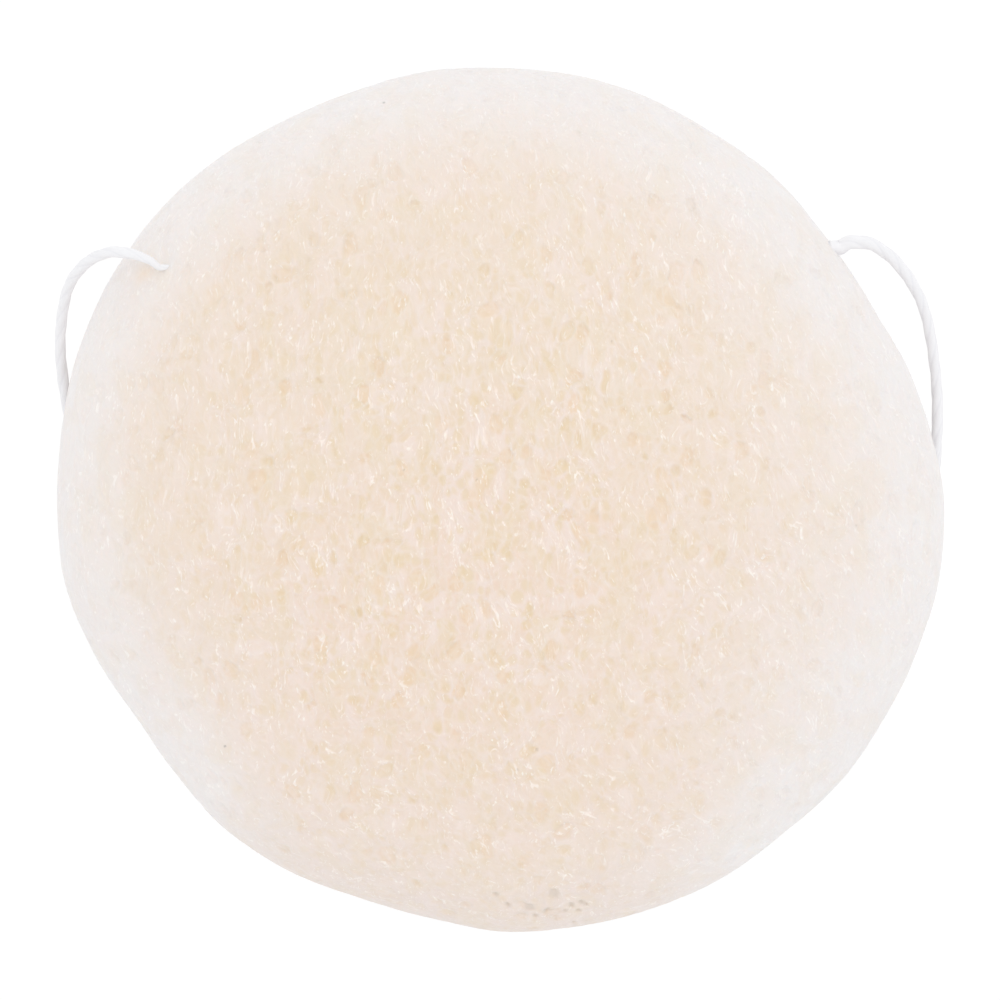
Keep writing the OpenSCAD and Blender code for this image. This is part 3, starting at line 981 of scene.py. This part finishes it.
def foamMaterial(look, grain):
    # the tints one over the other, each by its own mask from the mesh or from grain, and sparks
    # where the noise of the flecks is high; flecks and sparks are painted glints
    material, tree = newMaterial("konjacFoam")

    def soft(name, vector, stretch=(1.0, 1.0, 1.0)):
        return grainOf(tree, grain, vector, stretch, *look["grains"][name])

    where = addNode(tree, "TexCoord").outputs["Object"]
    place = attribute(tree, "foamPlace", "Vector")
    uprightPlace = attribute(tree, "uprightPlace", "Vector")
    slantedPlace = attribute(tree, "slantedPlace", "Vector")
    lively, pale = attribute(tree, "lively"), attribute(tree, "pale")
    upright, slanted = soft("upright", uprightPlace), soft("slanted", slantedPlace)
    spark = soft("spark", place, look["sparkStretch"])["Mask"]
    near = (stepped(tree, noise["Height"], *look["glintReach"]) for noise in (upright, slanted))
    masks = {
        "mottle": scaled(tree, soft("mottle", where)["Mask"], attribute(tree, "fade")),
        "streak": scaled(tree, soft("streak", slantedPlace)["Mask"], lively),
        "upright": scaled(tree, upright["Mask"], lively),
        "slanted": scaled(tree, slanted["Mask"], lively),
        "glint": scaled(tree, scaled(tree, spark, worked(tree, "MAXIMUM", *near)), lively),
    }
    fleck = blendColour(tree, pale, look["fleck"], look["paleFleck"])
    tints = {
        "mottle": look["finePit"], "plain": look["wall"], "upright": fleck, "slanted": fleck,
        "bigPit": blendColour(tree, attribute(tree, "orange"), look["yellowPit"], look["orangePit"]),
        "glint": blendColour(tree, pale, look["glint"], look["paleFleck"]),
    }
    colour = blendColour(tree, pale, look["cream"], look["rim"])
    for name, share in look["shares"].items():
        mask = masks[name] if name in masks else attribute(tree, name)
        tint = tints[name] if name in tints else look[name]
        colour = blendColour(tree, scaled(tree, mask, share), colour, tint)
    roughness = ranged(tree, masks["glint"], *look["roughness"])
    grit = soft("grit", place)["Height"]
    height = worked(tree, "MULTIPLY_ADD", upright["Mask"], look["fleckHeight"], grit)
    share, tint, depth = look["subsurface"]
    finishMaterial(tree, look, colour, roughness, height, {
        "Subsurface Weight": share, "Subsurface Radius": tint, "Subsurface Scale": depth,
    })
    return material


def cottonMaterial(look, grain):
    # paler on the crests of the plies, painted shade in the valleys, with fibres that run along them
    material, tree = newMaterial("cottonString")
    fibre = attribute(tree, "fibre", "Vector")
    hairs = grainOf(tree, grain, fibre, look["fibreStretch"], *look["fibreGrain"])
    level = stepped(tree, attribute(tree, "crest"), *look["crestLevels"])
    colour = blendColour(tree, level, look["valley"], look["crest"])
    colour = blendColour(tree, scaled(tree, hairs["Mask"], look["fibreShare"]), colour, look["fibre"])
    roughness = ranged(tree, hairs["Mask"], *look["roughness"])
    finishMaterial(tree, look, colour, roughness, hairs["Height"], {})
    return material


softGrain = grainGroup()
spongePiece.data.materials.clear()
spongePiece.data.materials.append(foamMaterial(foamColours, softGrain))
cotton = cottonMaterial(cottonColours, softGrain)
for piece in stringPieces.values():
    piece.data.materials.append(cotton)
print("materials: foam and cotton")

studio = {
    "floor": (1.5, 8, 0.00002),  # half its width, squares along each side, how far down it lies
    "floorColour": (0.9, 0.9, 0.9, 1),
    "floorGlow": 0.86,  # share of its own white that the camera sees, the rest being lit
    "floorWhite": 1.06,
    "horizon": 1.57,  # light from all round, at the table's level
    "zenith": 0.86,  # and from straight above
    "key": {"place": (0.065, 0.15, 0.84), "size": 0.5, "power": 1.2},
}


def seenShare(tree):
    # 1 for the rays that show the backdrop: from the camera, off gloss or through glass
    path = addNode(tree, "LightPath").outputs
    seen = worked(tree, "MAXIMUM", path["Is Camera Ray"], path["Is Glossy Ray"])
    return worked(tree, "MAXIMUM", seen, path["Is Transmission Ray"])


def makeStudio(look):
    # a floor that the camera sees as white under the shadow, air that is white to the camera and
    # lights by height, and one soft lamp
    half, n, drop = look["floor"]
    x, y = np.meshgrid(*[np.linspace(-half, half, n + 1)] * 2, indexing="ij")
    points = np.stack([x, y, 0 * x - drop], axis=-1).reshape(-1, 3)
    quads = cornersOf(np.arange((n + 1) ** 2).reshape(n + 1, n + 1)).reshape(-1, 4)
    floor = meshObject("floor", points, [quads])
    material, tree = newMaterial("paleFloor")
    lit = addNode(tree, "BsdfDiffuse", {"Color": look["floorColour"]})
    white = addNode(tree, "Emission", {"Strength": look["floorWhite"]})
    share = scaled(tree, seenShare(tree), look["floorGlow"])
    both = addNode(tree, "MixShader", {0: share, 1: lit.outputs[0], 2: white.outputs[0]})
    addNode(tree, "OutputMaterial", {"Surface": both.outputs[0]})
    floor.data.materials.append(material)
    bpy.context.scene.world, tree = newMaterial("whiteAir", bpy.data.worlds)
    toSky = addNode(tree, "TexCoord").outputs["Generated"]
    way = addNode(tree, "SeparateXYZ", {0: toSky})
    level = ranged(tree, way.outputs["Z"], look["horizon"], look["zenith"])
    strength = ranged(tree, seenShare(tree), level, 1.0)
    air = addNode(tree, "Background", {"Strength": strength})
    addNode(tree, "OutputWorld", {"Surface": air.outputs[0]})
    key = look["key"]
    data = bpy.data.lights.new("softKey", "AREA")
    data.shape, data.size, data.energy = "DISK", key["size"], key["power"]
    lamp = bpy.data.objects.new("softKey", data)
    lamp.location = key["place"]
    lamp.rotation_euler = (-Vector(key["place"])).to_track_quat("-Z", "Y").to_euler()
    bpy.context.scene.collection.objects.link(lamp)


makeStudio(studio)
bpy.context.scene.view_settings.view_transform = "Standard"
print("studio: floor, white air and one soft key light")
